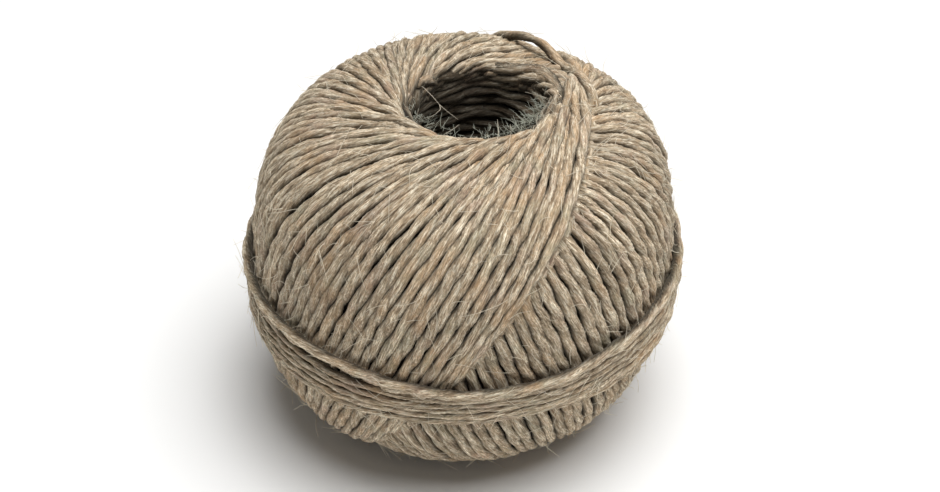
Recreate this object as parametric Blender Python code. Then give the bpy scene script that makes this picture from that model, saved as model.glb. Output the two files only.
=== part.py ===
"""Ball of jute twine, machine wound, with an open core and a band of turns round its waist.

Run it with: blender --background --python part.py
Units are metres and +Z is up. The ball stands on its flat spot, and the origin is on the
surface under the middle of its box.

The ball is one length of twine, so it is one solid. Its skin is a round of level rings,
cut into cells along the turns. Each ridge on it stands for a bunch of about four turns.
"""
import math

import bmesh
import bpy
from mathutils import Vector

MM = 0.001

# The wound body, without the band: an upright form with full shoulders
BODY_RADIUS = 52.3 * MM
BODY_HALF_HEIGHT = 45.8 * MM
SQUARENESS = 3.0  # 2 would be an ellipsoid, and more fills the shoulders
FLAT_SPOT = 2.2 * MM  # how far the ball has settled onto its base

# The open core left by the winding arm, and the rounded lip at each of its ends
CORE_RADIUS = 15.5 * MM
LIP_ROUNDING = 5.0 * MM
LIP_STEPS = 3
CORE_RINGS = 6
CORE_RIPPLE = 0.4 * MM

# Sideways lean towards +X for each unit of height
WINDING_LEAN = 0.06  # the core and the turns
BODY_LEAN = 0.03  # the ball's whole outline

# The main twists
TWISTS = 28
PLACES = 3  # places across one twist: its crest and the two sides of its groove
COLUMNS = TWISTS * PLACES  # places round a ring
ROWS = COLUMNS // 2  # rings from lip to lip, so that a turn steps one column a row
FIRST_ROW = 5  # rows nearer the lip than this would be slivers
RIDGE_HEIGHT = 0.9 * MM
RIDGE_FADE = 12.0 * MM  # the ridges sink away over this distance from the lip
LAST_TURN = math.radians(2)  # where round the ball the last turn passes over the top
LAST_TURNS = 9  # columns that the last turns cover
LAST_TURNS_HEIGHT = 1.5 * MM

# The band of level turns round the waist, its heights measured from the ball's middle
BAND_TOP = -1.2 * MM
BAND_TURNS = 5
BAND_PITCH = 2.6 * MM
BAND_CREST = 2.4 * MM
BAND_GROOVE = 1.2 * MM
BAND_CLEARANCE = 1.0 * MM  # no twisted ring comes nearer to the band than this

JUTE_COLOUR = (0.42, 0.31, 0.19, 1.0)
JUTE_ROUGHNESS = 0.9

LIP_RADIUS = CORE_RADIUS + LIP_ROUNDING
STEP = 2 * math.pi / COLUMNS


def body_height(radius):
    """Height of the body's top over its middle, at a distance from its axis."""
    return BODY_HALF_HEIGHT * (1 - (radius / BODY_RADIUS) ** SQUARENESS) ** (1 / SQUARENESS)


def body_radius(height):
    """Radius of the body at a height over its middle."""
    return BODY_RADIUS * (1 - abs(height / BODY_HALF_HEIGHT) ** SQUARENESS) ** (1 / SQUARENESS)


def reach(radius, height):
    """How far out a point lies, where 1 is the body's surface."""
    across = (radius / BODY_RADIUS) ** SQUARENESS
    upward = abs(height / BODY_HALF_HEIGHT) ** SQUARENESS
    return (across + upward) ** (1 / SQUARENESS)


def ring_points(radius, height):
    """Points of one level ring, leaning with the core."""
    points = []
    for column in range(COLUMNS):
        angle = LAST_TURN + column * STEP
        x = radius * math.cos(angle) + WINDING_LEAN * height
        points.append(Vector((x, radius * math.sin(angle), height)))
    return points


def turn_age(row, column):
    """Age of the newest turn over a place, in columns since the last turn.

    A turn comes over the top and runs down on two sides. A place lies on a leg that runs
    down one way round the ball and on one that runs down the other way.
    """
    return min((-column - row) % COLUMNS, (row - column) % COLUMNS)


def ridge(age, radius):
    """Height of the twists over the body's even surface."""
    height = RIDGE_HEIGHT * math.cos(2 * math.pi * age / PLACES)
    height += LAST_TURNS_HEIGHT * max(0.0, 1 - age / LAST_TURNS)
    return height * min(1.0, (radius - LIP_RADIUS) / RIDGE_FADE)


def wound_ring(row):
    """One ring of the twists.

    Each turn is a flat loop through the ball's middle, tilted so that it clears the core.
    Half a turn takes it from the top lip to the bottom one.
    """
    steepest = body_height(LIP_RADIUS) / LIP_RADIUS
    slope = steepest * math.cos(math.pi * row / ROWS)
    radius = 1 / reach(1, slope)
    points = []
    for column, point in enumerate(ring_points(radius, slope * radius)):
        point /= reach(math.hypot(point.x, point.y), point.z)
        height = ridge(turn_age(row, column), radius)
        points.append(point + point.normalized() * height)
    return points


def band_rings():
    """Rings of the waist band from its top edge down: an edge, then crests and grooves."""
    rings = []
    last = 2 * BAND_TURNS
    for index in range(last + 1):
        height = BAND_TOP - index * BAND_PITCH / 2
        proud = BAND_CREST if index % 2 else BAND_GROOVE
        if index in (0, last):
            proud = 0.0
        radius = body_radius(height) + proud
        ring = ring_points(radius, height)
        rings.append([Vector((p.x - WINDING_LEAN * height, p.y, p.z)) for p in ring])
    return rings


def lip_rings(side):
    """Rings from the face of the ball over the lip, into the core. Side is 1 or -1."""
    rings = []
    centre = body_height(LIP_RADIUS) - LIP_ROUNDING
    for index in range(LIP_STEPS + 1):
        turn = math.pi / 2 * index / LIP_STEPS
        radius = LIP_RADIUS - LIP_ROUNDING * math.sin(turn)
        height = centre + LIP_ROUNDING * math.cos(turn)
        rings.append(ring_points(radius, side * height))
    return rings


def core_rings():
    """Rings of the core's wall from the bottom up, with a soft ripple from its turns."""
    rings = []
    end = body_height(LIP_RADIUS) - LIP_ROUNDING
    for index in range(1, CORE_RINGS):
        height = end * (2 * index / CORE_RINGS - 1)
        ripple = CORE_RIPPLE if index % 2 else -CORE_RIPPLE
        rings.append(ring_points(CORE_RADIUS + ripple, height))
    return rings


def outer_rings():
    """Rings of the outside from the top down, with the band in the place of the twists."""
    rings = []
    top = BAND_TOP + BAND_CLEARANCE
    bottom = BAND_TOP - BAND_TURNS * BAND_PITCH - BAND_CLEARANCE
    band_is_in = False
    for row in range(FIRST_ROW, ROWS - FIRST_ROW + 1):
        ring = wound_ring(row)
        middle = sum(point.z for point in ring) / COLUMNS
        if middle < bottom and not band_is_in:
            rings += [(level, None) for level in band_rings()]
            band_is_in = True
        if middle > top or middle < bottom:
            rings.append((ring, [turn_age(row, column) for column in range(COLUMNS)]))
    return rings


def all_rings():
    """The whole skin as one closed round of rings: down the outside and up the core.

    Each ring comes with the ages of the turns at its places, or with None where it has
    no twists.
    """
    rings = [(ring, None) for ring in reversed(lip_rings(1))]
    rings += outer_rings()
    rings += [(ring, None) for ring in lip_rings(-1)]
    rings += [(ring, None) for ring in core_rings()]
    return rings


def settle(point):
    """Lean a point with the ball's outline and press it onto the flat spot."""
    base = FLAT_SPOT - BODY_HALF_HEIGHT
    x = point.x + BODY_LEAN * point.z
    return Vector((x, point.y, max(point.z, base) - base))


def join(mesh, upper, lower, upper_ages, lower_ages):
    """Fill the strip between two rings with triangles that face outwards.

    Where both rings are twisted, each cell is cut along the turn that crosses it.
    """
    twisted = upper_ages and lower_ages
    for column in range(COLUMNS):
        after = (column + 1) % COLUMNS
        if twisted and upper_ages[column] == lower_ages[after]:
            mesh.faces.new((upper[column], lower[column], lower[after]))
            mesh.faces.new((upper[column], lower[after], upper[after]))
        else:
            mesh.faces.new((upper[column], lower[column], upper[after]))
            mesh.faces.new((upper[after], lower[column], lower[after]))


def jute():
    """Matt tan-brown bast fibre."""
    material = bpy.data.materials.new("jute")
    material.use_nodes = True
    shader = material.node_tree.nodes["Principled BSDF"]
    shader.inputs["Base Color"].default_value = JUTE_COLOUR
    shader.inputs["Roughness"].default_value = JUTE_ROUGHNESS
    shader.inputs["Metallic"].default_value = 0.0
    return material


def twine_ball():
    """The ball as one closed solid."""
    rings = [([settle(point) for point in ring], ages) for ring, ages in all_rings()]
    points = [point for ring, _ in rings for point in ring]
    middle_x = (min(p.x for p in points) + max(p.x for p in points)) / 2
    middle_y = (min(p.y for p in points) + max(p.y for p in points)) / 2
    under_middle = Vector((middle_x, middle_y, 0))

    skin = bmesh.new()
    rounds = [([skin.verts.new(p - under_middle) for p in ring], ages) for ring, ages in rings]
    for (upper, upper_ages), (lower, lower_ages) in zip(rounds, rounds[1:] + rounds[:1]):
        join(skin, upper, lower, upper_ages, lower_ages)

    mesh = bpy.data.meshes.new("twine_ball")
    skin.to_mesh(mesh)
    skin.free()
    mesh.shade_smooth()
    ball = bpy.data.objects.new("twine_ball", mesh)
    bpy.context.collection.objects.link(ball)
    ball.data.materials.append(jute())
    return ball


def main():
    for item in list(bpy.data.objects):
        bpy.data.objects.remove(item)
    twine_ball()


main()
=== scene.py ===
"""Ball of natural jute twine, dressed with its single turns.

The file is laid out as an add-on and is run as a script. Units are metres and +Z is up. The
ball stands on its flat spot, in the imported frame's own place.
"""
import math
import random

import bpy
import numpy as np
from bpy.props import FloatProperty, FloatVectorProperty, IntProperty, PointerProperty
from bpy.props import StringProperty
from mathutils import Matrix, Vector


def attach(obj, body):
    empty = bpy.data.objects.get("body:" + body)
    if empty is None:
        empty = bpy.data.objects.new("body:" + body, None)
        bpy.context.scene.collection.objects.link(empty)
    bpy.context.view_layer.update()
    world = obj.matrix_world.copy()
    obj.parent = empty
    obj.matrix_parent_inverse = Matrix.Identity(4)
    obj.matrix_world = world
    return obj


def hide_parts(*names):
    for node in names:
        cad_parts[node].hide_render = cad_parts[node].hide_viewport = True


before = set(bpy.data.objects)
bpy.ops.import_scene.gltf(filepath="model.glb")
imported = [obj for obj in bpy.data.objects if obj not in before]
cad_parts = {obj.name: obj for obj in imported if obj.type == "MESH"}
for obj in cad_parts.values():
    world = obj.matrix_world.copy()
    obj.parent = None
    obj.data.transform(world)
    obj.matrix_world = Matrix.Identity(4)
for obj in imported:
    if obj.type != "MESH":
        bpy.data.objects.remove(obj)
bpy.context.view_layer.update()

bl_info = {
    "name": "Ball of jute twine",
    "version": (1, 0, 0),
    "blender": (4, 5, 0),
    "location": "3D View > Sidebar > Twine",
    "description": "Lays the single turns of a wound ball of twine over its plain solid",
    "category": "Object",
}

MM = 0.001
FULL_ROUND = 2 * math.pi
NODE = "twine_ball"
BODY = "root"


def length_setting(name, description, millimetres):
    """A length, given in millimetres."""
    return FloatProperty(
        name=name, description=description, default=millimetres * MM, unit="LENGTH")


def angle_setting(name, description, degrees):
    """An angle, given in degrees."""
    return FloatProperty(
        name=name, description=description, default=math.radians(degrees), subtype="ANGLE")


def share_setting(name, description, share):
    """A share of one."""
    return FloatProperty(name=name, description=description, default=share, subtype="FACTOR")


def number_setting(name, description, number):
    """A plain number."""
    return FloatProperty(name=name, description=description, default=number)


def count_setting(name, description, count):
    """A whole number."""
    return IntProperty(name=name, description=description, default=count)


def colour_setting(name, description, hex_colour):
    """A colour, as an sRGB hex value."""
    return StringProperty(name=name, description=description, default=hex_colour)


def direction_setting(name, description, direction):
    """A direction, as three numbers."""
    return FloatVectorProperty(
        name=name, description=description, default=direction, subtype="DIRECTION")


class BallShape(bpy.types.PropertyGroup):
    """The wound form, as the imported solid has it."""

    radius: length_setting("Radius", "Radius of the body under the waist band", 52.3)
    half_height: length_setting("Half height", "Height of the body over its middle", 45.8)
    squareness: number_setting(
        "Squareness", "2 is an ellipsoid, and more fills the shoulders", 3.0)
    flat_spot: length_setting("Flat spot", "How far the ball has settled onto its base", 2.2)
    core_radius: length_setting("Core radius", "Radius of the open core", 15.5)
    lip_rounding: length_setting("Lip rounding", "Rounding at each mouth of the core", 5.0)
    pinch: length_setting("Pinch", "How much nearer the axis the mouth's rim lies behind it", 3.8)
    front_pinch: length_setting(
        "Front pinch", "How much nearer the axis the rim lies at the front", 1.6)
    winding_lean: number_setting(
        "Winding lean", "Sideways lean of the turns for each unit of height", 0.06)
    body_lean: number_setting(
        "Body lean", "Sideways lean of the whole ball for each unit of height", 0.03)


class TwineMake(bpy.types.PropertyGroup):
    """The twine itself."""

    thickness: length_setting("Thickness", "Mean thickness of the two-ply twine", 2.55)
    lay: length_setting("Lay", "Length of one whole left-hand turn of the two plies", 17.0)
    ply_offset: share_setting(
        "Ply offset",
        "How far a ply's middle lies off the twine's middle, as a share of the twine's radius",
        0.23)
    ply_radius: share_setting(
        "Ply radius", "Radius of one pressed ply, as a share of the twine's", 0.84)
    sides: count_setting("Sides", "Points round the twine", 12)
    segment: length_setting("Segment", "Length of one piece of the twine's mesh", 1.3)
    # Painted shade: these settings darken the twine's colour in the grooves between turns and in
    # the valley between the plies, where less light falls
    groove_shade: share_setting(
        "Groove shade", "Light that fibre low between the turns gives back", 0.1)
    groove_foot: number_setting(
        "Groove foot",
        "Height over the twine's middle where that shade starts, as a share of its radius",
        0.0)
    groove_top: number_setting("Groove top", "Height over the twine's middle where it ends", 0.8)
    valley_shade: share_setting(
        "Valley shade", "Light lost in the valley between the two plies", 0.22)
    unevenness: share_setting(
        "Unevenness", "How much the thickness wanders along the twine", 0.09)


class WindingPlan(bpy.types.PropertyGroup):
    """How the turns lie over the ball. An age is an angle round the ball, back from the last."""

    turns: count_setting("Turns", "Turns in one round of the ball", 100)
    last_turn: angle_setting(
        "Last turn", "Where round the ball the last turn goes over the top", -0.1)
    step: length_setting("Step", "How far the last turns stand over the even surface", 1.1)
    step_age: angle_setting(
        "Step age", "Age over which the last turns sink to the even surface", 22)
    ledge: length_setting("Ledge", "How far the younger turns stand over the older ones", 0.5)
    ledge_age: angle_setting("Ledge age", "Age of the turn at that ledge", 76)
    hollow: length_setting("Hollow", "Depth of the hollow under the lifted last turn", 2.6)
    hollow_at: angle_setting("Hollow at", "Where round the ball the hollow lies", 60)
    hollow_width: angle_setting("Hollow width", "Half the hollow's width round the ball", 25)
    layer: length_setting("Layer", "Depth of a covered turn under the one that covers it", 2.8)
    edge_dip: length_setting("Edge dip", "How far the older turns sink along the last turn", 0.9)
    edge_age: angle_setting("Edge age", "Angle round the ball over which they do", 2.5)
    scatter: length_setting("Scatter", "How far the turns wander sideways", 0.15)
    lift: length_setting("Lift", "How far the last turn stands off the ball behind the core", 4.2)
    sink: length_setting("Sink", "How far the old turns dive at the core's mouths", 1.8)
    crowd_sink: length_setting(
        "Crowd sink", "How far a turn sinks where its neighbours close up", 1.3)
    fullness: share_setting(
        "Fullness",
        "Radius of the pressed twine where it has room, as a share of the way to the next turn",
        0.53)
    fullest: length_setting("Fullest", "Largest radius of the pressed twine", 1.7)
    whole_turns: count_setting("Whole turns", "How many of the last turns are made whole", 12)
    seed: count_setting("Seed", "Seed of the winding's wander", 7)


class CoreWall(bpy.types.PropertyGroup):
    """The turns that line the open core."""

    pitch: length_setting("Pitch", "Height from one lining turn to the next", 2.3)
    tilt: length_setting("Tilt", "How far a lining turn rises and falls round the core", 2.6)
    drop: length_setting("Drop", "How far under the rim the lining starts", 3.0)
    chord: length_setting(
        "Chord", "How much nearer the axis the turns pass behind the mouth", 1.6)
    chord_depth: length_setting(
        "Chord depth", "Depth over which they come back to the round wall", 9.0)
    pocket: length_setting(
        "Pocket", "How far into the ball the chords run under the turns beside the mouth", 5.0)
    # Painted shade: the lining's colour darkens over this depth, as less light reaches down into
    # the core
    dark_depth: length_setting(
        "Dark depth", "Depth in the core by which the twine is darkened by painted shade", 4.8)
    seed: count_setting("Seed", "Seed of the lining's wander", 21)


class WaistBand(bpy.types.PropertyGroup):
    """The level turns round the waist."""

    proud: length_setting("Proud", "How far a turn's middle lies outside the body", 1.1)
    pulled: share_setting(
        "Pulled",
        "Thickness of the tightly pulled turns under the first, as a share of the twine's",
        0.8)
    overlap: length_setting("Overlap", "How much further out a turn lies on another one", 1.2)
    seed: count_setting("Seed", "Seed of the band's wander", 5)


class StrayFibres(bpy.types.PropertyGroup):
    """Loose ends of fibre that stand off the twine."""

    count: count_setting("Count", "Fibres all over the ball", 1900)
    lip_count: count_setting("Count at the core", "Fibres that stand round the core's mouth", 340)
    thickness: length_setting("Thickness", "Thickness of a stray fibre", 0.15)
    length: length_setting("Length", "Usual length of a stray fibre", 5.5)
    seed: count_setting("Seed", "Seed of the fibres", 11)


class JuteColours(bpy.types.PropertyGroup):
    """Colours of the fibre, as sRGB hex values."""

    tan: colour_setting("Tan", "Usual colour of the fibre", "B7A388")
    cream: colour_setting("Cream", "Clean fibre", "EFE4CD")
    brown: colour_setting("Brown", "Fibre in the grooves", "7D6A54")
    orange: colour_setting("Orange", "Root-end fibre", "BA966F")
    pink: colour_setting("Pink", "Retted fibre with a pink cast", "B09382")
    green: colour_setting("Green", "Under-retted fibre", "98987F")
    # Painted shadow: the dark colour of the inner winding stands in for the shade deep between
    # the turns
    shadow: colour_setting("Shadow", "Fibre deep between the turns", "33291F")
    stray: colour_setting("Stray", "Loose fibre", "EADFC8")
    # Partly painted light: the short fibres at the mouth keep their own pale grey-green, made
    # lighter to stand in for the light they lack in the shade there
    lip_fibre_and_painted_light: colour_setting("Lip fibre with painted light", "Short fibre inside the core's mouth", "CDD0BF")


class StudioStage(bpy.types.PropertyGroup):
    """Floor, light and camera."""

    distance: length_setting("Camera distance", "From the lens to the ball's middle", 634)
    elevation: angle_setting("Camera elevation", "How far the camera looks down", 37.5)
    lens: number_setting("Lens", "Focal length on a 36 mm wide sensor", 96.5)
    aim: FloatVectorProperty(
        name="Aim", description="Sideways and upwards from the ball's middle in the picture",
        default=(1.76 * MM, -0.75 * MM), size=2, unit="LENGTH")
    floor: colour_setting("Floor", "Colour of the floor", "ECECEB")
    floor_size: length_setting("Floor size", "Half the width of the floor", 3000)
    sky: number_setting("Sky", "Strength of the even light", 0.12)
    key: number_setting("Key", "Strength of the wide light over the ball", 3.8)
    key_from: direction_setting("Key from", "Where the wide light comes from", (0.2, -0.01, 1))
    fill: number_setting("Fill", "Strength of the front light", 0.12)
    fill_from: direction_setting(
        "Fill from", "Where the front light comes from", (0.2, -1.0, 0.3))
    softness: angle_setting("Softness", "Width of both lights as seen from the ball", 52)


def linear(hex_colour):
    """Turn an sRGB hex colour into linear red, green, blue and alpha."""
    parts = [int(hex_colour[i:i + 2], 16) / 255 for i in (0, 2, 4)]
    return tuple(p / 12.92 if p <= 0.04045 else ((p + 0.055) / 1.055) ** 2.4
                 for p in parts) + (1.0,)


def add_node(tree, kind, settings=None, **links):
    """Add a node. Settings name its properties, and links its inputs' values or sources."""
    node = tree.nodes.new(kind)
    for name, value in (settings or {}).items():
        setattr(node, name, value)
    for name, value in links.items():
        key = int(name[1:]) if name[0] == "i" and name[1:].isdigit() else name.replace("_", " ")
        socket = node.inputs[key]
        if isinstance(value, bpy.types.NodeSocket):
            tree.links.new(value, socket)
        else:
            socket.default_value = value
    return node


def body_height(ball, radius):
    """Height of the body's top over its middle, at a distance from its axis."""
    share = np.clip(1 - (radius / ball.radius) ** ball.squareness, 0, 1)
    return ball.half_height * share ** (1 / ball.squareness)


def body_radius(ball, height):
    """Radius of the body at a height over its middle."""
    share = np.clip(1 - abs(height / ball.half_height) ** ball.squareness, 0, 1)
    return ball.radius * share ** (1 / ball.squareness)


def reach(ball, radius, height):
    """How far out a point lies, where 1 is the body's surface."""
    across = (radius / ball.radius) ** ball.squareness
    upward = abs(height / ball.half_height) ** ball.squareness
    return (across + upward) ** (1 / ball.squareness)


# Where the mouth's rim is pinched, as angles round the ball: behind the axis from the first
# one on, and at the front about the second
PINCH_START = math.radians(4)
FRONT_PINCH_AT = math.radians(-60)
PINCH_BREADTH = 0.7  # under 1 is a broad pinch behind the axis


def rim_radius(ball, azimuth):
    """Distance from the axis to the outside of the mouth's rounded rim."""
    behind = np.clip(np.sin(azimuth - PINCH_START), 0, 1)
    before = np.clip(np.cos(azimuth - FRONT_PINCH_AT), 0, 1)
    pinched = ball.pinch * behind ** PINCH_BREADTH + ball.front_pinch * before
    return ball.core_radius + ball.lip_rounding - pinched


LIP_BLEND = 3 * MM  # distance over which the lip goes over into the body's skin


def on_body(ball, azimuth, radius, height, level):
    """Points at a level over the body's skin, leaning with the turns, and the way out there.

    The points come with the ball's middle as their origin.
    """
    lip = rim_radius(ball, azimuth)
    side = np.sign(height)
    centre = body_height(ball, lip) - ball.lip_rounding
    inward = np.clip((lip - radius) / ball.lip_rounding, 0, 1)
    lip_height = side * (centre + ball.lip_rounding * np.sqrt(1 - inward ** 2))
    on_lip = np.clip((lip + LIP_BLEND / 2 - radius) / LIP_BLEND, 0, 1)
    height = np.where(radius < lip, lip_height, height)

    x = radius * np.cos(azimuth) + ball.winding_lean * height
    y = radius * np.sin(azimuth)
    out = reach(ball, np.hypot(x, y), height)
    scale = on_lip + (1 - on_lip) / out
    points = np.stack([x * scale, y * scale, height * scale], axis=1)

    across = np.hypot(points[:, 0], points[:, 1])
    power = ball.squareness - 1
    normal_across = (across / ball.radius) ** power / ball.radius
    normal_up = side * (abs(points[:, 2]) / ball.half_height) ** power / ball.half_height
    size = np.hypot(normal_across, normal_up)
    normal_across, normal_up = normal_across / size, normal_up / size
    lip_across, lip_up = -inward, side * np.sqrt(1 - inward ** 2)
    normal_across = np.where(radius < lip, lip_across, normal_across)
    normal_up = np.where(radius < lip, lip_up, normal_up)
    flat = points[:, :2] / across[:, None]
    normal = np.column_stack([flat * normal_across[:, None], normal_up])
    return points + normal * level[:, None], normal


def ball_middle(ball):
    """Middle of the ball as it stands on the floor."""
    return Vector((0, 0, ball.half_height - ball.flat_spot))


def settle(ball, points, radius):
    """Lean the points with the ball, stand it on the floor and press it onto its flat spot."""
    base = ball.flat_spot - ball.half_height
    points = points.copy()
    points[:, 0] += ball.body_lean * points[:, 2]
    points[:, 2] = np.maximum(points[:, 2], base + radius) - base
    return points


def smooth(values, reach_of):
    """Average a row of values or points over their neighbours."""
    kernel = np.ones(2 * reach_of + 1) / (2 * reach_of + 1)
    values = np.asarray(values, float)
    columns = values.reshape(len(values), -1)
    padded = np.pad(columns, ((reach_of, reach_of), (0, 0)), mode="edge")
    result = np.stack([np.convolve(padded[:, i], kernel, "valid")
                       for i in range(columns.shape[1])], axis=1)
    return result.reshape(values.shape)


def hump(place, middle, width):
    """1 at the middle of a smooth hump, and near 0 two widths away from it."""
    return np.exp(-((place - middle) / width) ** 2)


WAVE_LENGTHS = (0.5, 0.85, 1.4, 2.3)  # of a wander's waves, against its usual length
WAVE_SUM = 1.5  # usual height of their sum


def wander(rng, distance, amplitude, wavelength):
    """A smooth seeded wander along a length: a few waves of mixed lengths."""
    total = np.zeros_like(distance)
    for share in WAVE_LENGTHS:
        length = wavelength * share * rng.uniform(0.8, 1.25)
        total += rng.uniform(0.5, 1.0) * np.sin(
            FULL_ROUND * distance / length + rng.uniform(0, FULL_ROUND))
    return amplitude * total / WAVE_SUM


def even_steps(points, extras, segment):
    """Put points at even steps along a path, with the extras carried along."""
    run = np.r_[0, np.cumsum(np.linalg.norm(np.diff(points, axis=0), axis=1))]
    count = max(4, int(run[-1] / segment))
    at = np.linspace(0, run[-1], count)
    points = np.stack([np.interp(at, run, points[:, i]) for i in range(3)], axis=1)
    return points, [np.interp(at, run, extra) for extra in extras], at


# How the twine wanders along its length: its thickness over this length, and its twist in
# radians and its tint by an amount and over a length
UNEVEN_WAVE = 14 * MM
SLACK = (0.7, 40 * MM)
TINT_WANDER = (0.12, 60 * MM)

TIP_RADIUS = 0.02 * MM  # radius at a strand's two ends
PATTERN_SHIFT = 9  # metres by which the fibre pattern is shifted at most from strand to strand


def twine_strand(rng, twine, points, out, radius, shade=1.0):
    """One length of twine: its points, its thickness, its twist and the way out from the ball.

    Shade is the painted shade on its fibre: the share of its colour kept where less light reaches
    it, against fibre in full light.
    """
    shade = shade * np.ones(len(points))
    points, extras, at = even_steps(points, [radius, shade, *out.T], twine.segment)
    radius, shade = extras[:2]
    out = np.stack(extras[2:], axis=1)
    out /= np.linalg.norm(out, axis=1)[:, None]
    radius = radius * (1 + wander(rng, at, twine.unevenness, UNEVEN_WAVE))
    slack = wander(rng, at, *SLACK)
    twist = slack + rng.uniform(0, FULL_ROUND) - FULL_ROUND * at / twine.lay
    radius[[0, -1]] = TIP_RADIUS
    tint = rng.uniform(0, 1) + wander(rng, at, *TINT_WANDER)
    return {"points": points, "radius": radius, "twist": twist,
            "at": at + rng.uniform(0, PATTERN_SHIFT), "tint": tint, "shade": shade, "out": out}


# The last turns, each as its age in degrees, its distance from the axis at the top in mm, and
# its rank: a turn of rank 0 sinks first where the turns close up, and one of rank 9 never does
LAST_TURNS = ((0, 28.7, 9), (1.5, 26.2, 9), (3.6, 23.8, 9), (6.2, 22.6, 0), (9.2, 21.3, 2),
              (12.6, 20.3, 0), (16.2, 19.5, 1))

# Distance from the axis to the top of the older turns in mm, at their age in degrees
OLD_CLEARANCE = ((20, 19.0), (31, 18.1), (46, 16.8), (76, 15.6), (110, 16.2), (150, 18.4),
                 (180, 19.2), (215, 17.6), (240, 15.6), (270, 14.3), (300, 14.6),
                 (330, 16.5), (360, 18.0))


def turn_table(plan):
    """Age and clearance of each turn, the last one first."""
    last = np.array(LAST_TURNS)
    older = np.array(OLD_CLEARANCE)
    age = np.linspace(older[0, 0], 360, plan.turns - len(last) + 1)[:-1]
    clearance = np.interp(age, older[:, 0], older[:, 1])
    return np.radians(np.r_[last[:, 0], age]), np.r_[last[:, 1], clearance] * MM


def top_turn(scene, azimuth, slope):
    """The newest turn over each place: its age, and whether its clockwise leg lies there.

    A place is an azimuth and a slope, its height over its radius. Each turn passes through
    a slope twice, once on each leg. Ages come in radians, and as a full round where no turn
    reaches the place. A place just inside the top of one turn lies between it and the next.
    """
    plan, ball = scene.winding_plan, scene.ball_shape
    age, clearance = turn_table(plan)
    steepest = body_height(ball, clearance) / clearance
    back = (plan.last_turn - azimuth) % FULL_ROUND
    ratio = slope[:, None] / steepest[None, :]
    reached = abs(ratio) <= 1
    rise = np.arccos(np.clip(ratio, -1, 1))
    newest = np.full(len(azimuth), FULL_ROUND)
    clockwise = np.zeros(len(azimuth), bool)
    for sign, turn_round in ((1, 0), (1, FULL_ROUND), (-1, 0), (-1, -FULL_ROUND)):
        past = age[None, :] + sign * rise - (back + turn_round)[:, None]
        crossing = (past[:, :-1] <= 0) != (past[:, 1:] <= 0)
        crossing &= reached[:, :-1] | reached[:, 1:]
        first = crossing.argmax(axis=1)
        rows = np.arange(len(azimuth))
        before, after = past[rows, first], past[rows, first + 1]
        with np.errstate(invalid="ignore", divide="ignore"):
            found = age[first] + (age[first + 1] - age[first]) * before / (before - after)
        newer = crossing.any(axis=1) & (found < newest)
        newest = np.where(newer, found, newest)
        clockwise = np.where(newer, sign > 0, clockwise)
    return newest, clockwise


HOLLOW_FOOT = 0.5  # slope at which the hollow behind the mouth ends
HOLLOW_EVENS = 0.8  # share of the steps that it evens out, on the older legs in it


def hollow_depth(plan, azimuth, slope):
    """Depth of the hollow behind the mouth, which the lifted last turn bridges."""
    around = (azimuth - plan.hollow_at + math.pi) % FULL_ROUND - math.pi
    return plan.hollow * hump(around, 0, plan.hollow_width) * np.clip(slope - HOLLOW_FOOT, 0, 1)


def surface_level(scene, azimuth, slope, newest, clockwise):
    """Level of the wound surface: high over the newest turns, low just before them.

    A lower ledge lies where the winding had stopped closing up for a while.
    """
    plan, ball = scene.winding_plan, scene.ball_shape
    clearance = LAST_TURNS[0][1] * MM
    steepest = body_height(ball, clearance) / clearance
    rise = np.arccos(np.clip(slope / steepest, -1, 1))
    past = np.minimum((azimuth - plan.last_turn + rise) % FULL_ROUND,
                      (azimuth - plan.last_turn - rise) % FULL_ROUND)
    level = plan.step * (np.exp(-newest / plan.step_age) - np.exp(-past / plan.step_age))
    level = level - plan.edge_dip * np.exp(-past / plan.edge_age)
    since = newest - plan.ledge_age
    ledge = np.where(since < 0, np.exp(since / plan.step_age), -np.exp(-since / plan.step_age))
    level = level + plan.ledge / 2 * ledge
    hollow = hollow_depth(plan, azimuth, slope)
    return level * (1 - HOLLOW_EVENS * hollow / plan.hollow * ~clockwise) - hollow


# Where the last turn leaves the ball behind the mouth: the angle round the ball from its top,
# and the angle that a turn lying on the ball would have at the same slope
LAST_LEG = ((0, 0), (25, 8), (50, 20), (68, 32), (80, 48), (95, 80), (115, 110), (140, 140),
            (180, 180))


def turn_places(scene, age, clearance, rise):
    """Azimuth, radius and height of a turn on the upright body, at angles from its top."""
    ball, plan = scene.ball_shape, scene.winding_plan
    slope = body_height(ball, clearance) / clearance * np.cos(rise)
    if age == 0:
        leg = np.radians(LAST_LEG)
        late = smooth(np.interp(-rise, leg[:, 0], leg[:, 1]), 4)
        slope = np.where(rise < 0, slope / np.cos(rise) * np.cos(late), slope)
    radius = 1 / reach(ball, 1.0, slope)
    azimuth = plan.last_turn - age + rise / plan.turns - rise
    return azimuth, radius, slope * radius


def turn_gap(scene, index, rise):
    """Distance from a turn to the next newer one, square to the turn."""
    ages, clearances = turn_table(scene.winding_plan)
    (here, _), (newer, _) = (
        on_body(scene.ball_shape, *turn_places(scene, ages[i], clearances[i], rise),
                np.zeros(len(rise))) for i in (index, index - 1))
    along = np.gradient(here, axis=0)
    along /= np.linalg.norm(along, axis=1)[:, None]
    apart = newer - here
    apart -= along * (apart * along).sum(axis=1)[:, None]
    return np.linalg.norm(apart, axis=1)


TOPMOST = 9  # rank of a turn that slips under the next one and never sinks
SLIP = 0.45  # how far down it slips, where 1 is until the two only touch
CROWDED = 0.95  # distance in thicknesses under which every other turn sinks
CROWD_BLEND = 0.45  # share of that distance over which it goes down
RANKS = 5  # times over that every other one of the turns left can sink


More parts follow.
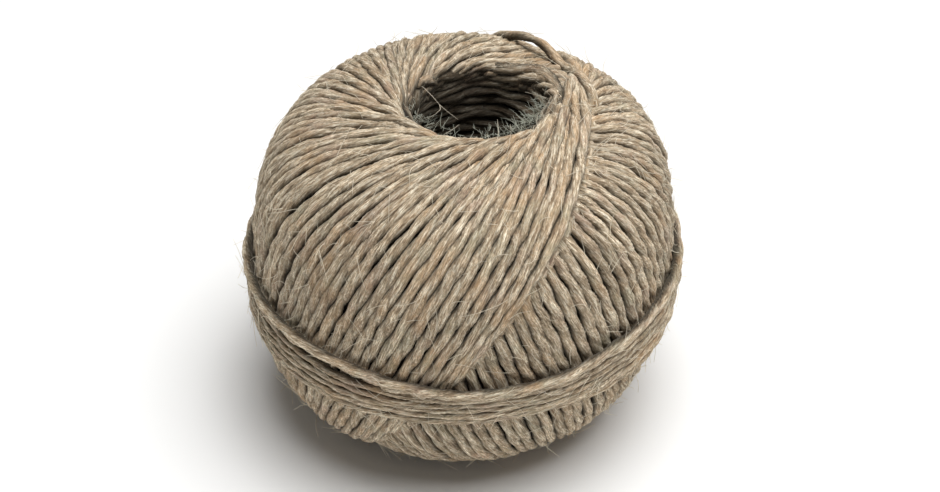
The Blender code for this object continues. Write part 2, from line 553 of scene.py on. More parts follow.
def crowd_level(plan, index, gap, thickness):
    """How far a turn sinks where the turns close up, as a level from 0 down.

    Every other turn sinks between its neighbours, and of the rest every other one again
    where they close up further. The very last turns slip under the next newer one.
    """
    if index < len(LAST_TURNS):
        rank = LAST_TURNS[index][2]
    else:
        rank = (index & -index).bit_length() - 1
    if rank == TOPMOST:
        return -SLIP * np.sqrt(np.maximum(0, thickness ** 2 - gap ** 2))
    level = np.zeros(len(gap))
    for halvings in range(rank, RANKS):
        full = CROWDED * 0.5 ** halvings
        share = np.clip((full - gap / thickness) / (CROWD_BLEND * full), 0, 1)
        level -= plan.crowd_sink * share * share * (3 - 2 * share)
    return level


TURN_STEP = 1.2  # degrees from one place of a turn to the next
FREE_GAP = 1.1  # distance in thicknesses from the last turn to the next, which it hasn't

# A turn shows where its age is this near to the newest one's
SHOWS_WITHIN = math.radians(4)
SHOWS_AT_TOP = math.radians(20)  # by so much more may an old turn differ near its top
TOP_WIDTH = 15  # degrees from its top over which it may
NEWER = 0.02  # a turn also shows where it is newer than all by this angle in radians

DIVE_WIDTH = 18  # degrees from its top over which an old turn dives into the mouth
LEVEL_WANDER = (0.12 * MM, 30 * MM)  # how far a turn rises and falls, and over what length
SCATTER_WAVE = 45 * MM  # length over which it wanders sideways


def turn_path(scene, rng, index, age, clearance, even):
    """One turn, half a round to each side of its top.

    It comes as points on the upright ball with the twine's level and radius there, and with
    a mark where it shows. Even is how quietly the turn lies, from 0 to 1.
    """
    ball, plan, twine = scene.ball_shape, scene.winding_plan, scene.twine_make
    rise = np.radians(np.arange(-180, 180.01, TURN_STEP))
    distance = rise * ball.radius
    azimuth, radius, height = turn_places(scene, age, clearance, rise)
    slope = height / radius

    newest, clockwise = top_turn(scene, azimuth, slope)
    from_top = np.degrees(math.pi - abs(abs(rise) - math.pi))
    from_top = np.minimum(from_top, 180 - from_top)
    near = SHOWS_WITHIN + SHOWS_AT_TOP * (1 - even) * hump(from_top, 0, TOP_WIDTH)
    shows = (clockwise == (rise >= 0)) & (abs(newest - age) < near) | (newest > age + NEWER)
    level = surface_level(scene, azimuth, slope, newest, clockwise)
    level = np.where(shows, level, level - plan.layer)
    free = np.full(len(rise), FREE_GAP * twine.thickness)
    gap = turn_gap(scene, index, rise) if index else free
    level = smooth(level, 2) + crowd_level(plan, index, gap, twine.thickness)
    level = level - (1 - even) * plan.sink * hump(from_top, 0, DIVE_WIDTH)
    level = level + wander(rng, distance, *LEVEL_WANDER)
    azimuth = azimuth + wander(rng, distance, plan.scatter, SCATTER_WAVE) / radius
    full = np.clip(plan.fullness * gap, twine.thickness / 2, plan.fullest)
    return {"azimuth": azimuth, "radius": radius, "height": height, "level": level,
            "thickness": smooth(full, 4), "rise": rise, "shows": shows}


FLOOR_CLEARANCE = 1.15  # height of a strand's middle over the floor, in radii


def turn_strand(scene, rng, path, keep=slice(None)):
    """Lay a stretch of a turn on the ball as one strand."""
    ball, twine = scene.ball_shape, scene.twine_make
    part = {key: value[keep] for key, value in path.items()}
    points, out = on_body(ball, part["azimuth"], part["radius"], part["height"],
                          part["level"] - twine.thickness / 2)
    points = settle(ball, smooth(points, 1), part["thickness"] * FLOOR_CLEARANCE)
    return twine_strand(rng, twine, points, smooth(out, 2), part["thickness"])


def showing_stretches(shows, margin):
    """First and last place of each stretch of a turn that shows, with tucked-in ends."""
    wide = np.convolve(shows.astype(float), np.ones(2 * margin + 1), "same") > 0.5
    edges = np.flatnonzero(np.diff(np.r_[0, wide.astype(int), 0]))
    return [(a, b) for a, b in zip(edges[::2], edges[1::2]) if b - a > 2 * margin + 4]


AGE_SCATTER = 0.14  # of an old turn, against the distance from one to the next
CLEARANCE_SCATTER = 0.4  # of its distance from the axis at the top, in mm
EVEN_TURNS = 25  # turns over which the even winding goes over into the scattered one
TUCKED_PLACES = 5  # by so many places a turn runs on under the others
FEWEST_POINTS = 10  # of a stretch that is worth showing


def old_turns(scene):
    """All the turns but the last ones, as two groups: clockwise legs and the others."""
    plan = scene.winding_plan
    rng = random.Random(plan.seed)
    ages, clearances = turn_table(plan)
    pitch = FULL_ROUND / plan.turns
    clockwise, other = [], []
    for index in range(plan.whole_turns, plan.turns):
        age = ages[index] + rng.uniform(-AGE_SCATTER, AGE_SCATTER) * pitch
        even = max(0.0, 1 - index / EVEN_TURNS)
        scatter = rng.uniform(-CLEARANCE_SCATTER, CLEARANCE_SCATTER) * MM * (1 - even)
        path = turn_path(scene, rng, index, age, clearances[index] + scatter, even)
        for first, last in showing_stretches(path["shows"], TUCKED_PLACES):
            group = clockwise if path["rise"][(first + last) // 2] > 0 else other
            strand = turn_strand(scene, rng, path, slice(first, last))
            if len(strand["points"]) > FEWEST_POINTS:
                group.append(strand)
    return clockwise, other


# The lift of the last turn: its middle and its width in degrees from the turn's top, and the
# share by which the strand is pulled thinner there
LIFT_AT = -63
LIFT_WIDTH = 17
LIFT_THINNING = 0.24

TUCK_FROM = 165  # degrees from its top where a last turn starts to go in under the others
TUCK_DEPTH = 0.8  # of the tuck, in layers


def last_turns(scene):
    """The last turns, each whole, with the lift where the last one leaves the ball."""
    plan = scene.winding_plan
    rng = random.Random(plan.seed + 1)
    ages, clearances = turn_table(plan)
    strands = []
    for index in range(plan.whole_turns):
        path = turn_path(scene, rng, index, ages[index], clearances[index], 1.0)
        degrees = np.degrees(path["rise"])
        if index == 0:
            lifted = hump(degrees, LIFT_AT, LIFT_WIDTH)
            path["level"] = path["level"] + plan.lift * lifted
            path["thickness"] = path["thickness"] * (1 - LIFT_THINNING * lifted)
        tuck = np.clip((abs(degrees) - TUCK_FROM) / (180 - TUCK_FROM), 0, 1)
        path["level"] = path["level"] - tuck * plan.layer * TUCK_DEPTH
        strands.append(turn_strand(scene, rng, path))
    return strands


# Turns of the waist band, each as azimuth in degrees, height over the ball's middle in mm,
# and layers out from the body. The front of the ball is at -90.
BAND_TURNS = (
    ((-112, -4.4, -0.4), (-98, -4.6, 0.0), (-86, -4.2, 0.5), (-75, -3.4, 1.0),
     (-66, -3.0, 1.0), (-57, -1.7, 0.9), (-49, -0.3, 0.8), (-39, -0.2, 0.7), (-31, 0.5, 0.6),
     (-20, 0.8, 0.5), (30, 0.6, 0.3), (90, -0.5, 0.3), (150, 0.4, 0.3), (185, 0.2, 0.5),
     (210, -0.6, 0.8), (226, -0.2, 1.0), (240, -0.6, 1.0), (255, -2.2, 1.0),
     (266, -3.4, 0.8), (276, -4.3, 0.5), (290, -5.0, 0.0), (305, -5.4, -0.4)),
    ((-215, -3.0, -0.4), (-180, -3.2, 0.0), (-150, -4.0, 0.0), (-125, -5.6, 0.1),
     (-105, -5.6, 0.3), (-88, -5.4, 0.7), (-70, -4.9, 0.4), (-55, -4.0, 0.5),
     (-40, -2.9, 0.5), (-20, -2.0, 0.2), (30, -2.2, 0.0), (90, -3.0, 0.0),
     (135, -3.0, 0.0), (160, -3.2, -0.4)),
    ((-225, -5.6, -0.4), (-180, -5.6, 0.1), (-150, -6.4, 0.1), (-125, -7.8, 0.1),
     (-105, -7.4, 0.4), (-88, -7.2, 0.5), (-70, -6.6, 0.7), (-55, -6.2, 0.3),
     (-40, -5.6, 0.3), (-20, -4.6, 0.3), (30, -4.6, 0.2), (90, -5.4, 0.2),
     (130, -5.6, 0.0), (150, -5.7, -0.4)),
    ((-205, -8.0, -0.4), (-180, -8.2, 0.1), (-150, -8.8, 0.0), (-125, -9.9, 0.0),
     (-105, -9.2, 0.2), (-88, -8.9, 0.2), (-70, -8.3, 0.3), (-55, -8.6, 0.0),
     (-40, -8.2, 0.0), (-20, -7.0, 0.0), (30, -7.0, 0.0), (90, -7.8, 0.1),
     (150, -8.0, 0.0), (170, -8.1, -0.4)),
    ((-230, -10.4, -0.4), (-180, -10.6, 0.0), (-150, -11.2, 0.1), (-125, -11.8, 0.1),
     (-105, -11.0, 0.1), (-88, -10.6, 0.4), (-70, -9.9, 0.6), (-55, -10.8, 0.4),
     (-40, -10.4, 0.3), (-20, -9.4, 0.1), (30, -9.4, 0.0), (90, -10.0, 0.0),
     (125, -10.2, 0.0), (145, -10.4, -0.4)),
    ((-200, -12.8, -0.4), (-175, -13.0, 0.0), (-150, -13.6, 0.0), (-125, -13.4, 0.0),
     (-105, -13.0, 0.1), (-88, -12.2, 0.2), (-70, -11.3, 0.3), (-55, -12.4, 0.1),
     (-40, -12.4, 0.0), (-20, -11.6, 0.0), (30, -11.6, 0.0), (90, -12.2, 0.0),
     (150, -12.6, 0.0), (175, -12.8, -0.4)),
)

BAND_STEP = 1.0  # degrees from one place of a band turn to the next
BAND_WANDER = (0.18 * MM, 35 * MM)  # how far it rises and falls, and over what length

# Thickness of a loose band turn, as a share of the twine's. The first turn is loose all round,
# and the others between two azimuths in degrees, with the change spread over some degrees.
LOOSE = 1.08
LOOSE_FROM = -75
LOOSE_TO = 20
LOOSE_BLEND = 25


def band_turns(scene):
    """The level turns round the waist."""
    ball, band, twine = scene.ball_shape, scene.waist_band, scene.twine_make
    rng = random.Random(band.seed)
    strands = []
    for turn in BAND_TURNS:
        table = np.array(turn)
        degrees = np.arange(table[0, 0], table[-1, 0], BAND_STEP)
        height = smooth(np.interp(degrees, table[:, 0], table[:, 1]), 5) * MM
        layers = smooth(np.interp(degrees, table[:, 0], table[:, 2]), 5)
        azimuth = np.radians(degrees)
        distance = azimuth * ball.radius
        height = height + wander(rng, distance, *BAND_WANDER)
        out = body_radius(ball, height) + band.proud + band.overlap * layers
        points = np.stack([out * np.cos(azimuth), out * np.sin(azimuth), height], axis=1)
        pulled = band.pulled if turn is not BAND_TURNS[0] else LOOSE
        side = np.clip((degrees - LOOSE_FROM) / LOOSE_BLEND, 0, 1)
        side = side * np.clip((LOOSE_TO - degrees) / LOOSE_BLEND, 0, 1)
        thickness = twine.thickness / 2 * (pulled + (LOOSE - pulled) * side)
        points = settle(ball, points, thickness)
        level_out = np.column_stack([np.cos(azimuth), np.sin(azimuth), np.zeros(len(azimuth))])
        strands.append(twine_strand(rng, twine, points, level_out, thickness))
    return strands


def from_the_sides(azimuth):
    """Degrees of a place from the nearer side of the ball, up to 90 at the back."""
    return 90 - abs((np.degrees(azimuth) + 90) % 360 - 180)


# Where the lining leaves the round wall, in degrees from the nearer side of the ball: both ends
# of that stretch, each with the degrees over which it leaves
LEAVES_FROM, LEAVES_FROM_BLEND = -5, 20
LEAVES_TO, LEAVES_TO_BLEND = 85, 30


def leaving(wall, azimuth, depth):
    """Share by which the lining has left the round wall for the pockets beside the mouth."""
    side = from_the_sides(azimuth)
    share = np.clip((LEAVES_TO - side) / LEAVES_TO_BLEND, 0, 1)
    share = share * np.clip((side - LEAVES_FROM) / LEAVES_FROM_BLEND, 0, 1)
    return share * hump(np.maximum(depth, 0), 0, wall.chord_depth)


LINING_STEP = 4.0  # degrees from one place of a lining turn to the next
LINING_END = 371  # degrees that a lining turn covers, so that its ends overlap
LINING_OUTSIDE = 0.95 * MM  # distance from the core's wall out to a lining turn's middle
LINING_THICKNESS = 0.92  # of the tightly pulled lining, as a share of the twine's
LINING_RISE = (0.5 * MM, 25 * MM)  # how far a turn rises and falls, and over what length
LINING_SWAY = (0.45 * MM, 20 * MM)  # how far it sways in and out, and over what length
CHORD_END = 12  # degrees from the side at which a chord runs no further out
CORE_TOP = 1.0 * MM  # how far under the ball's face the core's mouth is taken to lie
FIRST_LINING = 2 * MM  # how far over that mouth the first lining turn's middle is laid

# Tilt of the lining deep in the core, and by how much more at its mouth, against the usual one
DEEP_TILT, MOUTH_TILT = 0.6, 1.4

# The lip, where the lining opens outwards: how far under the mouth it starts, over what height
# it opens, and by how much
LIP_START, LIP_HEIGHT, LIP_OPENING = 4 * MM, 5 * MM, 2.0 * MM

# Places round the mouth, as azimuth and width in degrees: where the lining comes up to the rim
# at the right and the left, and where it lies under the overhang of the back rim
RIGHT_RIM = (35, 40)
LEFT_RIM = (172, 18)
OVERHANG = (102, 40)
RIM_SHARE = 0.9  # share of the way up to the rim that the lining comes there
OVERHANG_DEPTH = 7 * MM
OVERHANG_SHADE = 0.85  # share of the colour's light taken by the painted shadow under the overhang

# Painted shade on the lining's fibre, as the share of its colour's light kept: deep in the core,
# and by how much more at the mouth
DEEP_SHADE, MOUTH_SHADE = 0.2, 0.7
SHADE_FALL = 1.6  # over 1 keeps the mouth light and darkens fast below it
RIGHT_LIGHT = 0.5  # share by which the painted shade on the lining comes later at the right, where more light falls
LIP_TURN = 0.5  # how far the way out of the lining turns upwards on the lip


def core_turns(scene):
    """The near-level turns that line the core, from mouth to mouth."""
    ball, wall, twine = scene.ball_shape, scene.core_wall, scene.twine_make
    rng = random.Random(wall.seed)
    top = body_height(ball, ball.core_radius + ball.lip_rounding) - CORE_TOP
    strands = []
    height, phase = top + FIRST_LINING, math.pi / 2
    while height > -top:
        phase += rng.uniform(-0.3, 0.3)
        degrees = np.arange(0, LINING_END, LINING_STEP) + rng.uniform(0, 360)
        azimuth = np.radians(degrees)
        distance = azimuth * ball.core_radius
        tilt = DEEP_TILT + MOUTH_TILT * math.exp(-(top - height) / wall.dark_depth)
        rise = wall.tilt * tilt * np.sin(azimuth + phase) * rng.uniform(0.7, 1.1)
        level = height + rise + wander(rng, distance, *LINING_RISE)
        lip = np.clip((abs(level) - (top - LIP_START)) / LIP_HEIGHT, 0, 1)
        radius = ball.core_radius + LINING_OUTSIDE + lip ** 2 * LIP_OPENING

        # Near the upper mouth the turns behind it leave the wall as straight chords that
        # end under the outer turns at both sides
        around = (np.degrees(azimuth) + 90) % 360 - 90
        side = np.clip(from_the_sides(azimuth), CHORD_END, 90)
        chord = (ball.core_radius - wall.chord) / np.sin(np.radians(side))
        chord = np.minimum(chord, ball.core_radius + wall.pocket)
        share = leaving(wall, azimuth, top - height)
        radius = smooth(radius + share * (chord - radius), 2)
        radius = radius + wander(rng, distance, *LINING_SWAY)
        right, left = hump(around, *RIGHT_RIM), hump(around, *LEFT_RIM)
        ceiling = top - wall.drop * (1 - RIM_SHARE * right - RIM_SHARE * left)
        level = np.clip(level, -top, ceiling)
        points = np.stack([radius * np.cos(azimuth) + ball.winding_lean * level,
                           radius * np.sin(azimuth), level], axis=1)
        thickness = twine.thickness / 2 * LINING_THICKNESS * np.ones(len(points))
        inward = np.column_stack([-np.cos(azimuth), -np.sin(azimuth), LIP_TURN * lip ** 2])

        # Painted shade: the fibre's colour darkens with depth, later at the right, and early
        # under the back rim, where less light reaches
        depth = np.maximum(top - level, 0) / wall.dark_depth
        depth = depth * (1 - RIGHT_LIGHT * right)
        shade = DEEP_SHADE + MOUTH_SHADE * np.exp(-depth ** SHADE_FALL)
        overhung = hump(around, *OVERHANG) * hump(top - level, 0, OVERHANG_DEPTH)
        shade = shade * (1 - OVERHANG_SHADE * overhung)
        strands.append(twine_strand(rng, twine, settle(ball, points, thickness), inward,
                                    thickness, shade))
        height -= wall.pitch * rng.uniform(0.8, 1.2)
    return strands


def deselect_all():
    """Leave nothing selected."""
    if bpy.context.object and bpy.context.object.mode != "OBJECT":
        bpy.ops.object.mode_set(mode="OBJECT")
    bpy.ops.object.select_all(action="DESELECT")


def select_only(item):
    """Select one object, and make it the active one."""
    deselect_all()
    item.select_set(True)
    bpy.context.view_layer.objects.active = item


def as_mesh(name, curve):
    """Put a curve in the scene as an object and turn it into a mesh."""
    piece = bpy.data.objects.new(name, curve)
    bpy.context.collection.objects.link(piece)
    select_only(piece)
    bpy.ops.object.convert(target="MESH")
    return bpy.context.view_layer.objects.active


def ply_profile(twine):
    """Outline of two pressed plies side by side, one unit across from its middle."""
    curve = bpy.data.curves.new("ply_profile", "CURVE")
    curve.dimensions = "2D"
    spline = curve.splines.new("POLY")
    spline.points.add(twine.sides - 1)
    for index, (x, y) in enumerate(ply_outline(twine)):
        spline.points[index].co = (x, y, 0, 1)
    spline.use_cyclic_u = True
    profile = bpy.data.objects.new("ply_profile", curve)
    bpy.context.collection.objects.link(profile)
    return profile


def ply_outline(twine):
    """Points of the profile, clockwise so that the swept faces point outwards."""
    outline = []
    for index in range(twine.sides):
        angle = -FULL_ROUND * index / twine.sides
        offset = twine.ply_offset
        across = offset * abs(math.cos(angle))
        across += math.sqrt(twine.ply_radius ** 2 - (offset * math.sin(angle)) ** 2)
        outline.append((across * math.cos(angle), across * math.sin(angle)))
    return outline


def sweep(name, strands, twine):
    """Sweep the two plies along each strand, as one mesh with the fibre's own coordinates."""
    profile = ply_profile(twine)
    curve = bpy.data.curves.new(name, "CURVE")
    curve.dimensions = "3D"
    curve.twist_mode = "MINIMUM"
    curve.bevel_mode = "OBJECT"
    curve.bevel_object = profile
    for strand in strands:
        count = len(strand["points"])
        spline = curve.splines.new("POLY")
        spline.points.add(count - 1)
        spline.points.foreach_set("co", np.c_[strand["points"], np.ones(count)].ravel())
        spline.points.foreach_set("radius", strand["radius"])
        spline.points.foreach_set("tilt", strand["twist"])
    piece = as_mesh(name, curve)
    bpy.data.objects.remove(profile)
    mark_fibre(piece.data, strands, twine)
    close_ends(piece, twine.sides)
    bpy.ops.object.shade_smooth()
    return piece


FIBRE_TURN = 0.75  # fibres run nearly along the twine, so they turn by this share of the plies
THINNEST = 0.3 * MM  # radius down to which the shade in the grooves follows the twine's own
VALLEY_FROM = 0.87  # sine of the angle round the twine where the valley between the plies starts


def mark_fibre(mesh, strands, twine):
    """Give each point its place in the fibre, its strand's tint and the painted shade that stands
    for the light reaching it.
    """
    outline = np.array(ply_outline(twine))
    angle = np.arctan2(outline[:, 1], outline[:, 0])
    size = np.hypot(outline[:, 0], outline[:, 1])
    lay = []
    for strand in strands:
        turned = angle[None, :] - FIBRE_TURN * strand["twist"][:, None]
        radius = strand["radius"][:, None] * size[None, :]
        along = np.repeat(strand["at"][:, None], len(angle), axis=1)
        lay.append(np.stack([along, radius * np.cos(turned), radius * np.sin(turned)],
                            axis=2).reshape(-1, 3))
    lay = np.concatenate(lay)
    if len(mesh.vertices) != len(lay):
        raise RuntimeError(f"{mesh.name} has {len(mesh.vertices)} points and not {len(lay)}")
    tint, shade, middle, out, thick = (
        np.concatenate([np.repeat(strand[key], len(angle), axis=0) for strand in strands])
        for key in ("tint", "shade", "points", "out", "radius"))

    # Painted shade: less light reaches the fibre down in the grooves, between turns and between
    # the plies, so its colour is darkened there
    place = np.empty(len(lay) * 3)
    mesh.vertices.foreach_get("co", place)
    over = ((place.reshape(-1, 3) - middle) * out).sum(axis=1) / np.maximum(thick, THINNEST)
    share = np.clip((over - twine.groove_foot) / (twine.groove_top - twine.groove_foot), 0, 1)
    shade = shade * (twine.groove_shade + (1 - twine.groove_shade) * share)
    valley = np.clip((abs(np.sin(angle)) - VALLEY_FROM) / (1 - VALLEY_FROM), 0, 1)
    shade = shade * (1 - twine.valley_shade * np.tile(valley, len(lay) // len(angle)))

    for name, kind, key, values in (("fibre_lay", "FLOAT_VECTOR", "vector", lay.ravel()),
                                    ("strand_tint", "FLOAT", "value", tint),
                                    ("strand_shade", "FLOAT", "value", shade)):
        mesh.attributes.new(name, kind, "POINT").data.foreach_set(key, values)


def close_ends(piece, sides):
    """Close the strands' ends and turn all faces outwards."""
    select_only(piece)
    bpy.ops.object.mode_set(mode="EDIT")
    bpy.ops.mesh.select_all(action="SELECT")
    bpy.ops.mesh.fill_holes(sides=sides)
    bpy.ops.mesh.select_all(action="SELECT")
    bpy.ops.mesh.normals_make_consistent(inside=False)
    bpy.ops.object.mode_set(mode="OBJECT")


def finish_piece(piece, material):
    """Give a piece its material and tie it to the frame."""
    piece.data.materials.clear()
    piece.data.materials.append(material)
    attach(piece, BODY)
    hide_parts(NODE)


def lay_twine(scene, name, strands):
    """Sweep the strands as one finished piece of twine."""
    finish_piece(sweep(name, strands, scene.twine_make), twine_jute())


def twine_jute():
    """Jute is a bast fibre, spun in oil and laid as two soft plies.

    It is matt and streaky along the fibre, its colour wanders from cream to brown with
    orange, pink and green casts, and its loose surface scatters light at the edges.
    """
    name = "two-ply jute"
    if name in bpy.data.materials:
        return bpy.data.materials[name]
    colours = bpy.context.scene.jute_colours
    material = bpy.data.materials.new(name)
    material.use_nodes = True
    tree = material.node_tree
    tree.nodes.clear()
    lay = add_node(tree, "ShaderNodeAttribute", {"attribute_name": "fibre_lay"})
    tint = add_node(tree, "ShaderNodeAttribute", {"attribute_name": "strand_tint"})
    place = add_node(tree, "ShaderNodeTexCoord")

    # A single fibre of 0.02 mm is too fine to show. It is drawn as bundles 3.5 mm long and
    # 0.42 mm wide, and as finer ones 1.3 mm long and 0.2 mm wide.
    streaks = []
    for length, width, detail in ((3.5 * MM, 0.42 * MM, 3.0), (1.3 * MM, 0.2 * MM, 2.0)):
        streak_place = add_node(tree, "ShaderNodeMapping", {}, Vector=lay.outputs["Vector"],
                                Scale=(1 / length, 1 / width, 1 / width))
        streak = add_node(tree, "ShaderNodeTexNoise", {}, Vector=streak_place.outputs[0],
                          Scale=1.0, Detail=detail, Roughness=0.6)
        streaks.append(streak.outputs["Fac"])
    bundles, fibres = streaks

    # The colour goes from brown over tan to cream across the bundles
    spread = add_node(tree, "ShaderNodeMapRange", {}, Value=bundles,
                      From_Min=0.32, From_Max=0.68)
    base = add_node(tree, "ShaderNodeValToRGB", {}, Fac=spread.outputs[0])
    ramp = base.color_ramp
    ramp.elements[0].color = linear(colours.brown)
    ramp.elements[1].color = linear(colours.cream)
    ramp.elements.new(0.45).color = linear(colours.tan)

    # Casts of colour a few centimetres long: along the twine, and from turn to turn
    colour = base.outputs["Color"]
    casts = ((colours.orange, 13 * MM, 0.0, 0.64, 0.5), (colours.pink, 10 * MM, 5.0, 0.66, 0.4),
             (colours.green, 7 * MM, 9.0, 0.66, 0.35))
    for cast, size, offset, start, strength in casts:
        cast_place = add_node(tree, "ShaderNodeMapping", {}, Vector=place.outputs["Object"],
                              Location=(offset, offset, offset),
                              Scale=(1 / size, 1 / size, 1 / size))
        noise = add_node(tree, "ShaderNodeTexNoise", {}, Vector=cast_place.outputs[0],
                         Scale=1.0, Detail=4.0, Roughness=0.65)
        strand = add_node(tree, "ShaderNodeMath", {"operation": "SINE"},
                          i0=add_node(tree, "ShaderNodeMath", {"operation": "MULTIPLY_ADD"},
                                      i0=tint.outputs["Fac"], i1=23.0 + offset,
                                      i2=offset).outputs[0])
        both = add_node(tree, "ShaderNodeMath", {"operation": "MULTIPLY_ADD"},
                        i0=strand.outputs[0], i1=0.08, i2=noise.outputs["Fac"])
        share = add_node(tree, "ShaderNodeMapRange", {}, Value=both.outputs[0],
                         From_Min=start - 0.12, From_Max=start + 0.08, To_Max=strength)
        mixed = add_node(tree, "ShaderNodeMix", {"data_type": "RGBA", "blend_type": "MIX"},
                         i0=share.outputs[0], i6=colour, i7=linear(cast))
        colour = mixed.outputs[2]

    # Each length of twine is a little lighter or darker than the next
    shade = add_node(tree, "ShaderNodeMapRange", {}, Value=tint.outputs["Fac"],
                     From_Min=0.0, From_Max=1.0, To_Min=0.86, To_Max=1.12)
    fine = add_node(tree, "ShaderNodeMapRange", {}, Value=fibres,
                    From_Min=0.32, From_Max=0.68, To_Min=0.64, To_Max=1.38)
    light = add_node(tree, "ShaderNodeMath", {"operation": "MULTIPLY"},
                     i0=shade.outputs[0], i1=fine.outputs[0])
    # Painted shade from the strand_shade attribute darkens the colour in the grooves between
    # turns, between the plies and deep in the core
    painted_shade = add_node(tree, "ShaderNodeAttribute", {"attribute_name": "strand_shade"})
    light = add_node(tree, "ShaderNodeMath", {"operation": "MULTIPLY"},
                     i0=light.outputs[0], i1=painted_shade.outputs["Fac"])
    shaded = add_node(tree, "ShaderNodeVectorMath", {"operation": "SCALE"},
                      i0=colour, Scale=light.outputs[0])

    relief = add_node(tree, "ShaderNodeMath", {"operation": "ADD"},
                      i0=bundles, i1=fibres)
    bump = add_node(tree, "ShaderNodeBump", {}, Height=relief.outputs[0], Strength=0.6,
                    Distance=0.25 * MM)
    shader = add_node(tree, "ShaderNodeBsdfPrincipled", {},
                      Base_Color=shaded.outputs[0], Roughness=0.85, IOR=1.5,
                      Normal=bump.outputs[0])
    shader.inputs["Specular IOR Level"].default_value = 0.2
    shader.inputs["Sheen Weight"].default_value = 0.25
    shader.inputs["Sheen Roughness"].default_value = 0.5
    shader.inputs["Sheen Tint"].default_value = linear(colours.cream)
    add_node(tree, "ShaderNodeOutputMaterial", {}, Surface=shader.outputs[0])
    return material


def plain_fibre(name, colour, roughness):
    """Loose or shaded jute fibre: matt, with a faint mottle."""
    if name in bpy.data.materials:
        return bpy.data.materials[name]
    material = bpy.data.materials.new(name)
    material.use_nodes = True
    tree = material.node_tree
    tree.nodes.clear()
    place = add_node(tree, "ShaderNodeTexCoord")
    mottle = add_node(tree, "ShaderNodeTexNoise", {}, Vector=place.outputs["Object"],
                      Scale=1 / (6 * MM), Detail=3.0)
    shade = add_node(tree, "ShaderNodeMapRange", {}, Value=mottle.outputs["Fac"],
                     From_Min=0.3, From_Max=0.7, To_Min=0.7, To_Max=1.15)
    shaded = add_node(tree, "ShaderNodeVectorMath", {"operation": "SCALE"},
                      i0=linear(colour)[:3], Scale=shade.outputs[0])
    shader = add_node(tree, "ShaderNodeBsdfPrincipled", {}, Base_Color=shaded.outputs[0],
                      Roughness=roughness)
    add_node(tree, "ShaderNodeOutputMaterial", {}, Surface=shader.outputs[0])
    return material


# The mesh of the inner winding: columns round the ball, and rows outside and in the core. The
# outer rows are spaced by the sine of an angle that runs up to this limit.
WINDING_COLUMNS = 96
WINDING_OUTER_ROWS = 49
WINDING_CORE_ROWS = 21
WINDING_LIMIT = math.radians(60)

WINDING_INSET = 1.15  # its depth under the ball's surface, in thicknesses of the twine
WINDING_RIM = 4 * MM  # how far under the mouth its core wall ends
WINDING_GAP = 1.6 * MM  # how far its core wall lies outside the core
WINDING_FLOOR = 0.6 * MM  # its height over the floor


def winding_points(scene):
    """Points of the inner winding, a column for each angle round the ball."""
    ball, wall, twine = scene.ball_shape, scene.core_wall, scene.twine_make
    lip = ball.core_radius + ball.lip_rounding
    height = body_height(ball, lip)
    rise = np.linspace(WINDING_LIMIT, -WINDING_LIMIT, WINDING_OUTER_ROWS)
    slope = height / lip * np.sin(rise) / math.sin(WINDING_LIMIT)
    radius = 1 / reach(ball, 1.0, slope)
    inset = np.full(len(rise), -WINDING_INSET * twine.thickness)
    inner = np.linspace(-1, 1, WINDING_CORE_ROWS) * (height - WINDING_RIM)
    columns = []
    for index in range(WINDING_COLUMNS):
        azimuth = FULL_ROUND * index / WINDING_COLUMNS
        azimuths = np.full(len(rise), azimuth)
        hollow = hollow_depth(scene.winding_plan, azimuths, slope)
        outside, _ = on_body(ball, azimuths, radius, slope * radius, inset - hollow)
        pocket = leaving(wall, azimuth, height - WINDING_RIM - inner)
        out = ball.core_radius + WINDING_GAP + wall.pocket * pocket
        core = np.column_stack([out * math.cos(azimuth) + ball.winding_lean * inner,
                                out * math.sin(azimuth), inner])
        columns.append(settle(ball, np.concatenate([outside, core]), WINDING_FLOOR))
    return columns


class TWINE_OT_inner_winding(bpy.types.Operator):
    """Make the inner winding that shows between the outer turns, coloured dark as painted shadow
    """

    bl_idname = "twine.inner_winding"
    bl_label = "Inner winding"

    def execute(self, context):
        columns = winding_points(context.scene)
        rows = len(columns[0])
        faces = []
        for column in range(len(columns)):
            after = (column + 1) % len(columns)
            for row in range(rows):
                below = (row + 1) % rows
                faces.append((column * rows + row, column * rows + below,
                              after * rows + below, after * rows + row))
        mesh = bpy.data.meshes.new("inner_winding")
        mesh.from_pydata(np.concatenate(columns).tolist(), [], faces)
        mesh.update()
        piece = bpy.data.objects.new("inner_winding", mesh)
        context.collection.objects.link(piece)
        select_only(piece)
        bpy.ops.object.shade_smooth()
        # Painted shadow: the winding is coloured dark for the shade between the outer turns
        shadow = context.scene.jute_colours.shadow
        finish_piece(piece, plain_fibre("shaded jute", shadow, 0.95))
        return {"FINISHED"}


class TWINE_OT_outer_turns(bpy.types.Operator):
    """Lay the outer turns, which cross the ball both ways"""

    bl_idname = "twine.outer_turns"
    bl_label = "Outer turns"

    def execute(self, context):
        clockwise, other = old_turns(context.scene)
        lay_twine(context.scene, "turns_to_the_left", clockwise)
        lay_twine(context.scene, "turns_to_the_right", other)
        return {"FINISHED"}


class TWINE_OT_last_turns(bpy.types.Operator):
    """Lay the last turns over the shoulder"""

    bl_idname = "twine.last_turns"
    bl_label = "Last turns"

    def execute(self, context):
        lay_twine(context.scene, "last_turns", last_turns(context.scene))
        return {"FINISHED"}


class TWINE_OT_waist_band(bpy.types.Operator):
    """Lay the level turns round the waist"""

    bl_idname = "twine.waist_band"
    bl_label = "Waist band"

    def execute(self, context):
        lay_twine(context.scene, "waist_band", band_turns(context.scene))
        return {"FINISHED"}


class TWINE_OT_core_wall(bpy.types.Operator):
    """Line the open core with near-level turns"""

    bl_idname = "twine.core_wall"
    bl_label = "Core wall"

    def execute(self, context):
        lay_twine(context.scene, "core_wall", core_turns(context.scene))
        return {"FINISHED"}


